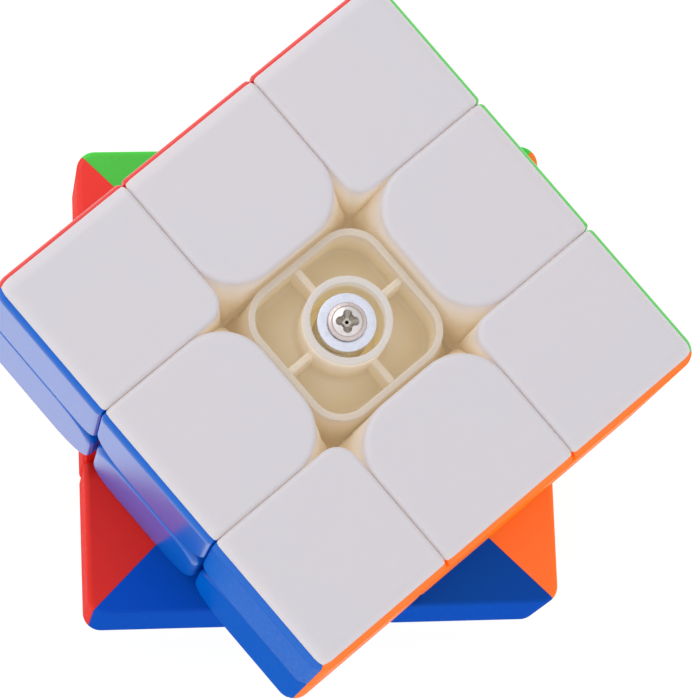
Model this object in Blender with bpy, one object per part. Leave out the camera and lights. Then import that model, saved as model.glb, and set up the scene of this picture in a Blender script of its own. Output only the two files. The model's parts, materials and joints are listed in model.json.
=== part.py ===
"""Twisty puzzle cube, 3 x 3 x 3, 56 mm, with one centre cap taken off.

Frame: metres, +Z up, origin at the middle of the core.  White faces +Z, yellow -Z,
blue -Y, green +Y, orange +X, red -X.  The top layer and the middle slice are
square to the axes; the bottom layer stands part of the way through a turn.

How it holds together: the core carries six arms, and a screw with a washer and a
spring pulls each centre piece towards it.  Every edge and corner piece has a foot
that runs in a spherical track between the core (TRACK_IN) and the underside of the
centre cups (TRACK_OUT), so each layer turns about its own screw.
"""
import math
import bpy
import bmesh
from mathutils import Matrix, Vector

MM = 0.001

# ---------------------------------------------------------------- driving sizes (mm)
HALF = 28.0            # half of the cube's width
CUT = HALF / 3.0       # height of the plane between two layers
GAP = 0.11             # each piece stops this far from the cut plane
BOTTOM_TURN = 51.38    # degrees that the bottom layer stands turned, about +Z

R_OUTER = 2.2          # rounding of the outer edges of the cube
R_SEAM = 1.1           # rounding where a side meets the gap between two pieces
R_CORNER_IN = 2.6      # rounding of a corner piece's tile towards the centre
R_EDGE_IN = 6.0        # rounding of an edge piece's tile towards the centre
EDGE_IN = 9.62         # where an edge piece's tile begins

TRACK_IN = 13.9        # inner radius of the feet
TRACK_OUT = 18.0       # outer radius of the feet
TRACK_CLEAR = 0.6      # room outside the feet
FOOT_STEP = 2.45       # how far a foot reaches past the cut plane
STALK_END = 16.0       # square stalk that joins a corner's block to its foot

CUP_HALF = 9.05        # centre piece: half width of its square cup
CUP_R = 4.5            # centre piece: corner rounding
CUP_WALL = 0.85
CUP_RIM = 24.5         # height of the rim, where the cap sits
CUP_FLOOR = 0.9        # thickness of the domed floor
TUBE_OUT = 5.05        # tube round the screw
TUBE_IN = 4.2
TUBE_TOP = 27.0
TUBE_FOOT = 14.3
TUBE_SEG = 18          # sides of the tube and its bore
SEAT_TOP = 15.7        # floor of the tube, where the spring stands
SEAT_HOLE = 1.9
RIB_T = 0.9            # four ribs between the tube and the cup's walls
RIB_TOP = 23.3

CAP_BOTTOM = 24.75     # lower edge of the cap's skirt
CAP_ROOM = 27.15       # underside of the cap's face
CAP_LIP_OUT = 8.0      # locating lip that drops inside the cup's walls
CAP_LIP_IN = 7.2
CAP_LIP_END = 23.55

HUB_R = 7.0            # core
ARM_R = 3.5
ARM_TOP = 13.3
PILOT_R = 1.65
PILOT_END = 4.4

SHANK_R = 1.42         # screw
SHANK_END = 6.2
HEAD_R = 2.15
HEAD_BOTTOM = 25.75
HEAD_RIM = 26.05
HEAD_TOP = 26.45
RECESS = 0.75          # depth of the cross recess
RECESS_W = 0.42        # width of its slots
RECESS_L = 1.2         # half length of its slots

WASHER_IN = 1.75
WASHER_OUT = 3.35
WASHER_BOTTOM = 24.9
WASHER_TOP = 25.55

SPRING_R = 2.85        # mean radius of the coil
WIRE_R = 0.33
SPRING_BOTTOM = 16.1   # centre line of the first coil
SPRING_TOP = 24.45     # centre line of the last coil
SPRING_TURNS = 5       # closed end turns included

# ---------------------------------------------------------------- start clean
for ob in list(bpy.data.objects):
    bpy.data.objects.remove(ob, do_unlink=True)


# ---------------------------------------------------------------- helpers
def material(name, rgb, rough, metal=0.0):
    """Principled material in linear colour from 8-bit sRGB values."""
    lin = [((c / 255 + 0.055) / 1.055) ** 2.4 if c > 10 else c / 255 / 12.92 for c in rgb]
    m = bpy.data.materials.new(name)
    m.use_nodes = True
    b = m.node_tree.nodes["Principled BSDF"]
    b.inputs["Base Color"].default_value = (*lin, 1.0)
    b.inputs["Roughness"].default_value = rough
    b.inputs["Metallic"].default_value = metal
    m.diffuse_color = (*lin, 1.0)
    return m


def rounded_box(x0, x1, y0, y1, radii, seg=3):
    """Outline of a rectangle; radii run from (x0, y0) counter-clockwise."""
    pts = []
    for k, (cx, cy, a0) in enumerate(((x0, y0, 180), (x1, y0, 270), (x1, y1, 0), (x0, y1, 90))):
        r = radii[k]
        ox = cx + r if cx == x0 else cx - r
        oy = cy + r if cy == y0 else cy - r
        for i in range(seg + 1):
            a = math.radians(a0 + 90 * i / seg)
            pts.append((ox + r * math.cos(a), oy + r * math.sin(a)))
    return pts


def prism(outline, low, high, axis="Z"):
    """Extrude an outline along an axis.  The outline is (x, y), (x, z) or (y, z)."""
    place = {"Z": lambda p, h: (p[0], p[1], h),
             "Y": lambda p, h: (p[0], h, p[1]),
             "X": lambda p, h: (h, p[0], p[1])}[axis]
    bm = bmesh.new()
    base = [bm.verts.new(Vector(place(p, low)) * MM) for p in outline]
    face = bm.faces.new(base)
    ext = bmesh.ops.extrude_face_region(bm, geom=[face])
    shift = Vector(place((0, 0), high - low)) * MM
    bmesh.ops.translate(bm, vec=shift, verts=[g for g in ext["geom"] if isinstance(g, bmesh.types.BMVert)])
    bmesh.ops.recalc_face_normals(bm, faces=bm.faces)
    return bm


def turned(profile, segments):
    """Turn a closed (radius, height) outline about Z."""
    bm = bmesh.new()
    verts = [bm.verts.new((r * MM, 0, z * MM)) for r, z in profile]
    edges = [bm.edges.new((verts[i], verts[(i + 1) % len(verts)])) for i in range(len(verts))]
    bmesh.ops.spin(bm, geom=verts + edges, cent=(0, 0, 0), axis=(0, 0, 1),
                   angle=2 * math.pi, steps=segments, use_merge=True, use_duplicate=False)
    bmesh.ops.remove_doubles(bm, verts=bm.verts, dist=1e-6)
    bmesh.ops.recalc_face_normals(bm, faces=bm.faces)
    return bm


def solid_turned(profile, segments):
    """Turn an open (radius, height) line, whose ends are on the axis, into a solid."""
    bm = bmesh.new()
    rings = []
    for r, z in profile:
        if r == 0:
            rings.append([bm.verts.new((0, 0, z * MM))])
        else:
            rings.append([bm.verts.new((r * MM * math.cos(2 * math.pi * k / segments),
                                        r * MM * math.sin(2 * math.pi * k / segments), z * MM))
                          for k in range(segments)])
    for a, b in zip(rings, rings[1:]):
        for k in range(segments):
            n = (k + 1) % segments
            quad = [a[k % len(a)], a[n % len(a)], b[n % len(b)], b[k % len(b)]]
            quad = [v for i, v in enumerate(quad) if v not in quad[:i]]
            if len(quad) > 2:
                bm.faces.new(quad)
    bmesh.ops.recalc_face_normals(bm, faces=bm.faces)
    return bm


def ball(radius, level):
    bm = bmesh.new()
    bmesh.ops.create_icosphere(bm, subdivisions=level, radius=radius * MM)
    return bm


def temp_object(bm, name="tool"):
    me = bpy.data.meshes.new(name)
    bm.to_mesh(me)
    bm.free()
    ob = bpy.data.objects.new(name, me)
    bpy.context.scene.collection.objects.link(ob)
    return ob


def combine(base, *steps):
    """Run boolean steps on a bmesh: each step is (operation, bmesh).  Returns a mesh."""
    ob = temp_object(base, "base")
    tools = []
    for op, bm in steps:
        t = temp_object(bm)
        t.hide_render = True
        t.display_type = 'WIRE'
        mod = ob.modifiers.new(op, 'BOOLEAN')
        mod.operation = op
        mod.solver = 'EXACT'
        mod.object = t
        tools.append(t)
    dg = bpy.context.evaluated_depsgraph_get()
    dg.update()
    me = bpy.data.meshes.new_from_object(ob.evaluated_get(dg))
    for o in [ob] + tools:
        bpy.data.objects.remove(o, do_unlink=True)
    # remove the slivers that cuts leave along an edge
    bm = bmesh.new()
    bm.from_mesh(me)
    bmesh.ops.remove_doubles(bm, verts=bm.verts, dist=0.02 * MM)
    bmesh.ops.dissolve_degenerate(bm, dist=0.01 * MM, edges=bm.edges)
    bmesh.ops.dissolve_limit(bm, angle_limit=math.radians(0.5), verts=bm.verts, edges=bm.edges)
    bmesh.ops.triangulate(bm, faces=bm.faces)
    bm.to_mesh(me)
    bm.free()
    me.materials.clear()
    return me


def finish_mesh(bm, name):
    me = bpy.data.meshes.new(name)
    bm.to_mesh(me)
    bm.free()
    return me


def place(name, mesh, mat, rot, parent):
    """One named node.  Copies share their mesh, so the material sits on the object."""
    ob = bpy.data.objects.new(name, mesh)
    bpy.context.scene.collection.objects.link(ob)
    if not mesh.materials:
        mesh.materials.append(None)
    ob.material_slots[0].link = 'OBJECT'
    ob.material_slots[0].material = mat
    ob.rotation_euler = rot.to_euler()
    ob.parent = parent
    return ob


def smooth(mesh, angle=35):
    mesh.shade_smooth()
    mesh.set_sharp_from_angle(angle=math.radians(angle))
    return mesh


# ---------------------------------------------------------------- shapes
LO = CUT + GAP                     # nearest face of a piece beyond the cut
NECK = CUT - FOOT_STEP - GAP       # half width of an edge's neck
FOOT = CUT - FOOT_STEP + GAP       # nearest face of a foot
TRACK_CUT = TRACK_OUT + TRACK_CLEAR


def corner_mesh():
    """Corner piece at +X +Y +Z: block, with its foot in the spherical track."""
    outline = rounded_box(LO, HALF, LO, HALF, (R_CORNER_IN, R_SEAM, R_OUTER, R_SEAM))
    me = combine(prism(outline, LO, HALF + 1, "Z"),
                 ('INTERSECT', prism(outline, LO - 1, HALF + 1, "Y")),
                 ('INTERSECT', prism(outline, LO - 1, HALF + 1, "X")))
    block = bmesh.new()
    block.from_mesh(me)
    foot = combine(ball(TRACK_OUT, 2),
                   ('INTERSECT', prism([(FOOT, FOOT), (30, FOOT), (30, 30), (FOOT, 30)], FOOT, 30)))
    fb = bmesh.new()
    fb.from_mesh(foot)
    stalk = prism([(LO, LO), (STALK_END, LO), (STALK_END, STALK_END), (LO, STALK_END)], LO, STALK_END)
    return smooth(combine(block, ('UNION', stalk), ('UNION', fb), ('DIFFERENCE', ball(TRACK_IN + 0.35, 2))))


def edge_mesh():
    """Edge piece at -Y +Z: two-sided block, neck, and foot in the track."""
    w = CUT - GAP
    plan = rounded_box(-w, w, EDGE_IN, HALF, (R_EDGE_IN, R_EDGE_IN, R_SEAM, R_SEAM), 4)
    side = rounded_box(LO, HALF, LO, HALF, (0.6, R_SEAM, R_OUTER, R_SEAM))
    me = combine(prism([(x, -y) for x, y in plan], LO - 1, HALF + 1, "Z"),
                 ('INTERSECT', prism(plan, -HALF - 1, -LO + 1, "Y")),
                 ('INTERSECT', prism([(-y, z) for y, z in side], -w - 1, w + 1, "X")),
                 ('DIFFERENCE', ball(TRACK_CUT + 0.1, 3)))
    block = bmesh.new()
    block.from_mesh(me)
    neck = prism([(-22, LO), (-LO, LO), (-LO, 22), (-22, 22)], -NECK, NECK, "X")
    foot = combine(ball(TRACK_OUT, 2),
                   ('INTERSECT', prism([(-30, FOOT), (-FOOT, FOOT), (-FOOT, 30), (-30, 30)], -NECK, NECK, "X")))
    fb = bmesh.new()
    fb.from_mesh(foot)
    return smooth(combine(block, ('UNION', neck), ('UNION', fb), ('DIFFERENCE', ball(TRACK_IN + 0.35, 2))))


def centre_mesh():
    """Centre piece at +Z: square cup on a domed floor, tube round the screw, four ribs."""
    h, r = CUP_HALF, CUP_R
    outer = rounded_box(-h, h, -h, h, (r,) * 4, 4)
    hi, ri = CUP_HALF - CUP_WALL, CUP_R - CUP_WALL
    inner = rounded_box(-hi, hi, -hi, hi, (ri,) * 4, 4)
    room = combine(prism(inner, 10, 30), ('DIFFERENCE', ball(TRACK_CUT + 0.1 + CUP_FLOOR, 3)))
    rb = bmesh.new()
    rb.from_mesh(room)
    tube = turned([(SEAT_HOLE, TUBE_FOOT), (TUBE_OUT, TUBE_FOOT), (TUBE_OUT, TUBE_TOP), (SEAT_HOLE, TUBE_TOP)], TUBE_SEG)
    bore = solid_turned([(0, SEAT_TOP), (TUBE_IN, SEAT_TOP), (TUBE_IN, 30), (0, 30)], TUBE_SEG)
    t = RIB_T / 2
    rib_x = prism([(-hi - 0.3, -t), (hi + 0.3, -t), (hi + 0.3, t), (-hi - 0.3, t)], 18.4, RIB_TOP)
    rib_y = prism([(-t, -hi - 0.3), (t, -hi - 0.3), (t, hi + 0.3), (-t, hi + 0.3)], 18.4, RIB_TOP)
    me = combine(prism(outer, 10, CUP_RIM),
                 ('DIFFERENCE', ball(TRACK_CUT + 0.1, 3)),
                 ('DIFFERENCE', rb),
                 ('UNION', rib_x),
                 ('UNION', rib_y))
    cup = bmesh.new()
    cup.from_mesh(me)
    # the dome under the ribs stays clear, then the tube goes through everything
    hole = solid_turned([(0, 10), (TUBE_IN + 0.4, 10), (TUBE_IN + 0.4, 30), (0, 30)], TUBE_SEG)
    return smooth(combine(cup, ('DIFFERENCE', hole), ('UNION', tube), ('DIFFERENCE', bore)))


def cap_mesh():
    """Centre cap at +Z: rounded plate, skirt down to the cup's rim, locating lip."""
    h, r = CUP_HALF, CUP_R
    lo, li = CAP_LIP_OUT, CAP_LIP_IN
    top = 1.1
    plate = bmesh.new()
    levels = ((0.0, CAP_BOTTOM), (0.0, HALF - top), (top * 0.3, HALF - top * 0.3), (top, HALF))
    rings = [[plate.verts.new((x * MM, y * MM, z * MM))
              for x, y in rounded_box(-h + d, h - d, -h + d, h - d, (r - d,) * 4, 3)] for d, z in levels]
    for a, b in zip(rings, rings[1:]):
        for k in range(len(a)):
            n = (k + 1) % len(a)
            plate.faces.new((a[k], a[n], b[n], b[k]))
    plate.faces.new(list(reversed(rings[0])))
    plate.faces.new(rings[-1])
    bmesh.ops.recalc_face_normals(plate, faces=plate.faces)
    lip = prism(rounded_box(-lo, lo, -lo, lo, (3.4,) * 4, 2), CAP_LIP_END, CAP_BOTTOM + 0.5)
    room = prism(rounded_box(-li, li, -li, li, (2.6,) * 4, 2), CAP_LIP_END - 1, CAP_ROOM)
    return smooth(combine(plate, ('UNION', lip), ('DIFFERENCE', room)))


def core_mesh():
    """Core: a ball with six bored arms for the screws."""
    steps = []
    for axis in range(3):
        bar = solid_turned([(0, -ARM_TOP), (ARM_R, -ARM_TOP), (ARM_R, ARM_TOP), (0, ARM_TOP)], 12)
        if axis:
            bmesh.ops.rotate(bar, cent=(0, 0, 0), matrix=Matrix.Rotation(math.pi / 2, 3, 'XY'[axis - 1]),
                             verts=bar.verts)
        steps.append(('UNION', bar))
    for axis in range(3):
        for s in (1, -1):
            hole = solid_turned([(0, s * PILOT_END), (PILOT_R, s * PILOT_END), (PILOT_R, s * 20), (0, s * 20)], 10)
            if axis:
                bmesh.ops.rotate(hole, cent=(0, 0, 0), matrix=Matrix.Rotation(math.pi / 2, 3, 'XY'[axis - 1]),
                                 verts=hole.verts)
            steps.append(('DIFFERENCE', hole))
    return smooth(combine(ball(HUB_R, 1), *steps))


def screw_mesh():
    """Tension screw along +Z: pan head with a cross recess, plain shank."""
    body = solid_turned([(0, SHANK_END), (SHANK_R * 0.6, SHANK_END), (SHANK_R, SHANK_END + 1.2),
                         (SHANK_R, HEAD_BOTTOM), (HEAD_R, HEAD_BOTTOM), (HEAD_R, HEAD_RIM),
                         (HEAD_R * 0.75, HEAD_TOP - 0.1), (0, HEAD_TOP)], 12)
    w, n = RECESS_W / 2, RECESS_L
    cross = [(-w, -n), (w, -n), (w, -w), (n, -w), (n, w), (w, w), (w, n), (-w, n), (-w, w), (-n, w), (-n, -w), (-w, -w)]
    return smooth(combine(body, ('DIFFERENCE', prism(cross, HEAD_TOP - RECESS, HEAD_TOP + 1))))


def washer_mesh():
    """Flat washer between the spring and the screw's head."""
    return smooth(finish_mesh(turned([(WASHER_IN, WASHER_BOTTOM), (WASHER_OUT, WASHER_BOTTOM),
                                      (WASHER_OUT, WASHER_TOP), (WASHER_IN, WASHER_TOP)], 16), "washer"))


def spring_mesh():
    """Compression spring: one wire swept along a coil, its end turns closed up."""
    per = 10
    sides = 4
    bm = bmesh.new()
    rings = []
    total = per * SPRING_TURNS
    for i in range(total + 1):
        t = i / total
        turns = t * SPRING_TURNS
        # the first and last turn rise slowly, the active turns carry the pitch
        rise = max(0.0, min(turns - 0.75, SPRING_TURNS - 1.5)) / (SPRING_TURNS - 1.5)
        flat = 0.75 * WIRE_R * 2.1
        z = SPRING_BOTTOM + min(turns, 0.75) * flat + max(0.0, turns - (SPRING_TURNS - 0.75)) * flat \
            + rise * (SPRING_TOP - SPRING_BOTTOM - 1.5 * flat)
        a = 2 * math.pi * turns
        ring = []
        for k in range(sides):
            b = 2 * math.pi * k / sides
            rr = SPRING_R + WIRE_R * math.cos(b)
            ring.append(bm.verts.new((rr * math.cos(a) * MM, rr * math.sin(a) * MM, (z + WIRE_R * math.sin(b)) * MM)))
        rings.append(ring)
    for a, b in zip(rings, rings[1:]):
        for k in range(sides):
            n = (k + 1) % sides
            bm.faces.new((a[k], a[n], b[n], b[k]))
    bm.faces.new(list(reversed(rings[0])))
    bm.faces.new(rings[-1])
    bmesh.ops.recalc_face_normals(bm, faces=bm.faces)
    return smooth(finish_mesh(bm, "spring"), 50)


# ---------------------------------------------------------------- materials
FACE_RGB = {"white": (222, 220, 224), "yellow": (246, 214, 20), "blue": (18, 88, 205),
            "green": (62, 190, 62), "orange": (255, 108, 36), "red": (222, 36, 34)}
CREAM = (214, 204, 180)
DIRECTION = {"white": Vector((0, 0, 1)), "yellow": Vector((0, 0, -1)), "blue": Vector((0, -1, 0)),
             "green": Vector((0, 1, 0)), "orange": Vector((1, 0, 0)), "red": Vector((-1, 0, 0))}

# ---------------------------------------------------------------- frames for the moving layers
frames = {}
for fname, turn in (("top_layer_axis", 0.0), ("middle_slice", 0.0), ("bottom_layer_axis", BOTTOM_TURN)):
    e = bpy.data.objects.new(fname, None)
    bpy.context.scene.collection.objects.link(e)
    e.rotation_euler = (0, 0, math.radians(turn))
    frames[fname] = e


def layer_of(faces):
    if "white" in faces:
        return frames["top_layer_axis"]
    if "yellow" in faces:
        return frames["bottom_layer_axis"]
    return frames["middle_slice"]


def frame_from(x, y, z):
    """Rotation that takes the local axes to three given directions."""
    return Matrix((x, y, z)).transposed()


# ---------------------------------------------------------------- build
corner, edge, centre, cap = corner_mesh(), edge_mesh(), centre_mesh(), cap_mesh()
core, screw, washer, spring = core_mesh(), screw_mesh(), washer_mesh(), spring_mesh()

place("core", core, material("core", (60, 62, 66), 0.45), Matrix.Identity(3), frames["middle_slice"])

zinc = material("zinc", (196, 198, 202), 0.32, 1.0)
steel = material("steel", (150, 152, 156), 0.3, 1.0)
bright = material("washer_steel", (205, 206, 212), 0.35, 1.0)

for face, z in DIRECTION.items():
    y = Vector((0, 1, 0)) if abs(z.z) > 0.5 else Vector((0, 0, 1))
    x = y.cross(z)
    rot = frame_from(x, y, z)
    lay = layer_of((face,))
    own = lay if face != "white" else frames["top_layer_axis"]
    place("centre_" + face, centre, material("centre_" + face, CREAM if face == "white" else FACE_RGB[face], 0.4), rot, own)
    # screws and springs stand in the core, so they keep the core's frame
    place("screw_" + face, screw, zinc, rot, frames["middle_slice"])
    place("washer_" + face, washer, bright, rot, frames["middle_slice"])
    place("spring_" + face, spring, steel, rot, frames["middle_slice"])
    if face != "white":
        place("cap_" + face, cap, material("cap_" + face, FACE_RGB[face], 0.3), rot, own)

EDGES = (("white", "blue"), ("white", "orange"), ("white", "green"), ("white", "red"),
         ("blue", "orange"), ("orange", "green"), ("green", "red"), ("red", "blue"),
         ("yellow", "blue"), ("yellow", "orange"), ("yellow", "green"), ("yellow", "red"))
for a, b in EDGES:
    z, y = DIRECTION[a], -DIRECTION[b]
    rot = frame_from(y.cross(z), y, z)
    place("edge_%s_%s" % (a, b), edge, material("edge_%s_%s" % (a, b), FACE_RGB[a], 0.3), rot, layer_of((a, b)))

CORNERS = (("white", "blue", "orange"), ("white", "orange", "green"), ("white", "green", "red"),
           ("white", "red", "blue"), ("yellow", "orange", "blue"), ("yellow", "green", "orange"),
           ("yellow", "red", "green"), ("yellow", "blue", "red"))
for names in CORNERS:
    d = [DIRECTION[n] for n in names]
    if Matrix((d[0], d[1], d[2])).determinant() < 0:
        d = [d[0], d[2], d[1]]
    rot = frame_from(d[0], d[1], d[2])
    place("corner_" + "_".join(names), corner, material("corner_" + "_".join(names), FACE_RGB[names[0]], 0.3),
          rot, layer_of(names))
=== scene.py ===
"""Looks of the twisty puzzle cube: every coloured shell as its own piece, with real
edge rounding, the open centre cup with its tube, ribs, washer and screw, the caps,
and the plastics and metals.

Frame: metres, +Z up, origin at the middle of the core.  White +Z, yellow -Z,
blue -Y, green +Y, orange +X, red -X; the bottom layer stands turned about +Z.
"""
import json
import math

import bpy
import bmesh
import numpy as np
from mathutils import Matrix, Vector


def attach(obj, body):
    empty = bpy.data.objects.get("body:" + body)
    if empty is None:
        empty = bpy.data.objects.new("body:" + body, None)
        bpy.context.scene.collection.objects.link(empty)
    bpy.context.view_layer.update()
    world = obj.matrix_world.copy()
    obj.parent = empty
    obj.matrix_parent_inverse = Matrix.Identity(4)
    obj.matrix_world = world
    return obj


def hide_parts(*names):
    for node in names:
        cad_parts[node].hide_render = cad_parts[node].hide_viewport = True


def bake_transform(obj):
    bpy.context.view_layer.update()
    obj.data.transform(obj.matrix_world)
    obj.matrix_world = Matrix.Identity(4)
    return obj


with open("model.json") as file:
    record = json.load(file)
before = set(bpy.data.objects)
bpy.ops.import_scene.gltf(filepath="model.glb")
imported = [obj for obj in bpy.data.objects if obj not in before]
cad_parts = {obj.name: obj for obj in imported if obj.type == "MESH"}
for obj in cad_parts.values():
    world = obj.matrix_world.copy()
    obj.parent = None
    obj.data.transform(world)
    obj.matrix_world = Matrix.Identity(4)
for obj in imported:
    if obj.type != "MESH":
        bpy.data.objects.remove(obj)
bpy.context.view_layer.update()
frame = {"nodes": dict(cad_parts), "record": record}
MM = 0.001

# ------------------------------------------------------------------ sizes (mm)
HALF = 28.0
CUT = HALF / 3.0
GAP = 0.035             # half of the gap between neighbouring blocks
LO = CUT + GAP
BOTTOM_TURN = 51.38
R_OUTER = 2.2           # outer edges
R_SEAM = 0.6            # edges along the gaps
R_CORNER_IN = 2.6       # a corner block's inner upright edge, at the outer face
R_EDGE_IN = 6.0         # an edge block's inner upright edges, at the outer face
R_DEEP = 0.45           # the same edges, deep down, where they close the hole
DEEP = 18.4             # height where they reach R_DEEP
EDGE_IN = 9.55
EDGE_HALF = CUT - GAP
FOOT_STEP = 2.45
NECK = CUT - FOOT_STEP - 0.11
FOOT = CUT - FOOT_STEP + 0.11
TRACK_IN = 14.25
TRACK_OUT = 17.9
TRACK_CUT = 18.7
STALK_END = 16.0
SPLIT = 0.012          # half of the fine joint between two coloured shells

CUP_HALF = 9.05
CUP_R = 4.5
CUP_WALL = 0.85
CUP_RIM = 24.5
CUP_FLOOR_R = 19.6
TUBE_OUT = 5.05
TUBE_IN = 4.2
TUBE_TOP = 27.0
TUBE_FOOT = 14.3
SEAT_TOP = 15.7
SEAT_HOLE = 1.9
RIB_T = 0.9
RIB_TOP = 23.3

CAP_BOTTOM = 24.75
CAP_ROOM = 27.15
CAP_LIP_OUT = 8.0
CAP_LIP_IN = 7.2
CAP_LIP_END = 23.55

SHANK_R = 1.38
SHANK_END = 6.2
HEAD_R = 2.2
HEAD_BOTTOM = 25.75
HEAD_TOP = 26.45
RECESS_TURN = 49.0      # the way the cross recess stands
WASHER_IN = 1.75
WASHER_OUT = 3.35
WASHER_BOTTOM = 24.9
WASHER_TOP = 25.55
SPRING_R = 2.85
WIRE_R = 0.33
SPRING_BOTTOM = 16.1
SPRING_TOP = 24.45
SPRING_TURNS = 5

DIRECTION = {"white": Vector((0, 0, 1)), "yellow": Vector((0, 0, -1)), "blue": Vector((0, -1, 0)),
             "green": Vector((0, 1, 0)), "orange": Vector((1, 0, 0)), "red": Vector((-1, 0, 0))}


# ------------------------------------------------------------------ mesh helpers
def link(ob):
    bpy.context.scene.collection.objects.link(ob)
    return ob


def mesh_from(verts, faces, name="m"):
    me = bpy.data.meshes.new(name)
    me.from_pydata([tuple(np.asarray(v, float) * MM) for v in verts], [], faces)
    me.validate()
    return me


def weld(me, dist=2e-4):
    bm = bmesh.new()
    bm.from_mesh(me)
    bmesh.ops.remove_doubles(bm, verts=bm.verts, dist=dist * MM)
    bmesh.ops.recalc_face_normals(bm, faces=bm.faces)
    bm.to_mesh(me)
    bm.free()
    return me


def combine(base, *steps):
    """Boolean steps on meshes, returning a new mesh."""
    ob = link(bpy.data.objects.new("base", base))
    tools = []
    for op, me in steps:
        t = link(bpy.data.objects.new("tool", me))
        t.hide_render = True
        mod = ob.modifiers.new(op, 'BOOLEAN')
        mod.operation = op
        mod.solver = 'EXACT'
        mod.object = t
        tools.append(t)
    dg = bpy.context.evaluated_depsgraph_get()
    dg.update()
    out = bpy.data.meshes.new_from_object(ob.evaluated_get(dg))
    for o in [ob] + tools:
        bpy.data.objects.remove(o, do_unlink=True)
    out.materials.clear()
    return out


def prism(outline, low, high, axis="Z"):
    place = {"Z": lambda p, h: (p[0], p[1], h),
             "Y": lambda p, h: (p[0], h, p[1]),
             "X": lambda p, h: (h, p[0], p[1])}[axis]
    n = len(outline)
    v = [place(p, low) for p in outline] + [place(p, high) for p in outline]
    f = [list(range(n)), list(range(2 * n - 1, n - 1, -1))]
    f += [[i, i + n, (i + 1) % n + n, (i + 1) % n] for i in range(n)]
    return weld(mesh_from(v, f), 1e-5)


def ball(radius, level):
    bm = bmesh.new()
    bmesh.ops.create_icosphere(bm, subdivisions=level, radius=radius * MM)
    me = bpy.data.meshes.new("ball")
    bm.to_mesh(me)
    bm.free()
    return me


def tidy(me, angle=32):
    """Drop slivers, then smooth shading with sharp edges where the surface turns hard."""
    bm = bmesh.new()
    bm.from_mesh(me)
    bmesh.ops.remove_doubles(bm, verts=bm.verts, dist=0.004 * MM)
    bmesh.ops.dissolve_degenerate(bm, dist=0.003 * MM, edges=bm.edges)
    bm.to_mesh(me)
    bm.free()
    me.shade_smooth()
    me.set_sharp_from_angle(angle=math.radians(angle))
    return me


# ------------------------------------------------------------------ rounded blocks
def round_and(ds, r):
    """Distance to the intersection of several solids, its inner edges rounded by r."""
    u = sum(np.maximum(d + r, 0) ** 2 for d in ds)
    top = ds[0]
    for d in ds[1:]:
        top = np.maximum(top, d)
    return np.minimum(top, -r) + np.sqrt(u)


def upright(h, r_top):
    """Radius of an inner upright edge at height h: wide at the outer face, narrow deep down."""
    t = np.clip((HALF - h) / (HALF - DEEP), 0, 1)
    return r_top + (R_DEEP - r_top) * t ** 1.5


def corner_field(p):
    x, y, z = p.T
    outer = round_and([x - HALF, y - HALF, z - HALF], R_OUTER)
    a, b, c = LO - x, LO - y, LO - z
    walls = np.maximum(np.maximum(round_and([a, b], upright(z, R_CORNER_IN)),
                                  round_and([b, c], upright(x, R_CORNER_IN))),
                       round_and([a, c], upright(y, R_CORNER_IN)))
    return round_and([outer, walls], R_SEAM)


def edge_field(p):
    x, y, z = p.T
    outer = round_and([z - HALF, -y - HALF], R_OUTER)
    a, b, c = np.abs(x) - EDGE_HALF, EDGE_IN + y, EDGE_IN - z
    walls = np.maximum(np.maximum(round_and([a, b], upright(z, R_EDGE_IN)),
                                  round_and([a, c], upright(-y, R_EDGE_IN))),
                       round_and([b, c], 1.0))
    return round_and([outer, walls], R_SEAM)


def project(points, field, low, high):
    """Move points of the sharp box onto the rounded surface, along rays from its core."""
    p = np.asarray(points, float)
    core = np.clip(p, low, high)
    a, b = np.zeros(len(p)), np.ones(len(p))
    for _ in range(40):
        m = (a + b) / 2
        inside = field(core + (p - core) * m[:, None]) < 0
        a, b = np.where(inside, m, a), np.where(inside, b, m)
    return core + (p - core) * ((a + b) / 2)[:, None]


def block_normals(me, field):
    """Shade the rounded surface with its own true normals; cut faces keep their flat ones."""
    loops = len(me.loops)
    normals = np.empty(loops * 3, np.float32)
    me.corner_normals.foreach_get("vector", normals)
    normals = normals.reshape(-1, 3).astype(float)
    vi = np.empty(loops, np.int32)
    me.loops.foreach_get("vertex_index", vi)
    co = np.empty(len(me.vertices) * 3, np.float32)
    me.vertices.foreach_get("co", co)
    co = co.reshape(-1, 3).astype(float) / MM
    face_n = np.empty(len(me.polygons) * 3, np.float32)
    me.polygons.foreach_get("normal", face_n)
    face_n = face_n.reshape(-1, 3).astype(float)
    totals = np.empty(len(me.polygons), np.int32)
    me.polygons.foreach_get("loop_total", totals)
    face_of = np.repeat(np.arange(len(me.polygons)), totals)
    e = 1e-3
    grad = np.stack([(field(co + np.eye(3)[k] * e) - field(co - np.eye(3)[k] * e)) / (2 * e) for k in range(3)], 1)
    grad /= np.maximum(np.linalg.norm(grad, axis=1), 1e-9)[:, None]
    on = np.abs(field(co)) < 0.02
    g = grad[vi]
    use = on[vi] & ((g * face_n[face_of]).sum(1) > 0.85)
    normals[use] = g[use]
    me.normals_split_custom_set([tuple(v) for v in normals])
    return me


def steps_between(lo, hi, m_lo, m_hi, n_lo, n_hi, n_mid):
    """Positions from lo to hi, close together where the edges are rounded."""
    s_lo = [lo + m_lo * (1 - math.tan(math.radians(45 * (1 - i / n_lo)))) for i in range(n_lo)]
    mid = [lo + m_lo + (hi - m_hi - lo - m_lo) * i / n_mid for i in range(n_mid + 1)]
    s_hi = [hi - m_hi * (1 - math.tan(math.radians(45 * (i + 1) / n_hi))) for i in range(n_hi)]
    return s_lo + mid + s_hi


def grid(fn, us, vs):
    """Vertices and quads of a grid; fn(u, v) gives the point."""
    v = [fn(a, b) for a in us for b in vs]
    n = len(vs)
    f = [[i * n + j, (i + 1) * n + j, (i + 1) * n + j + 1, i * n + j + 1]
         for i in range(len(us) - 1) for j in range(n - 1)]
    return v, f


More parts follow.
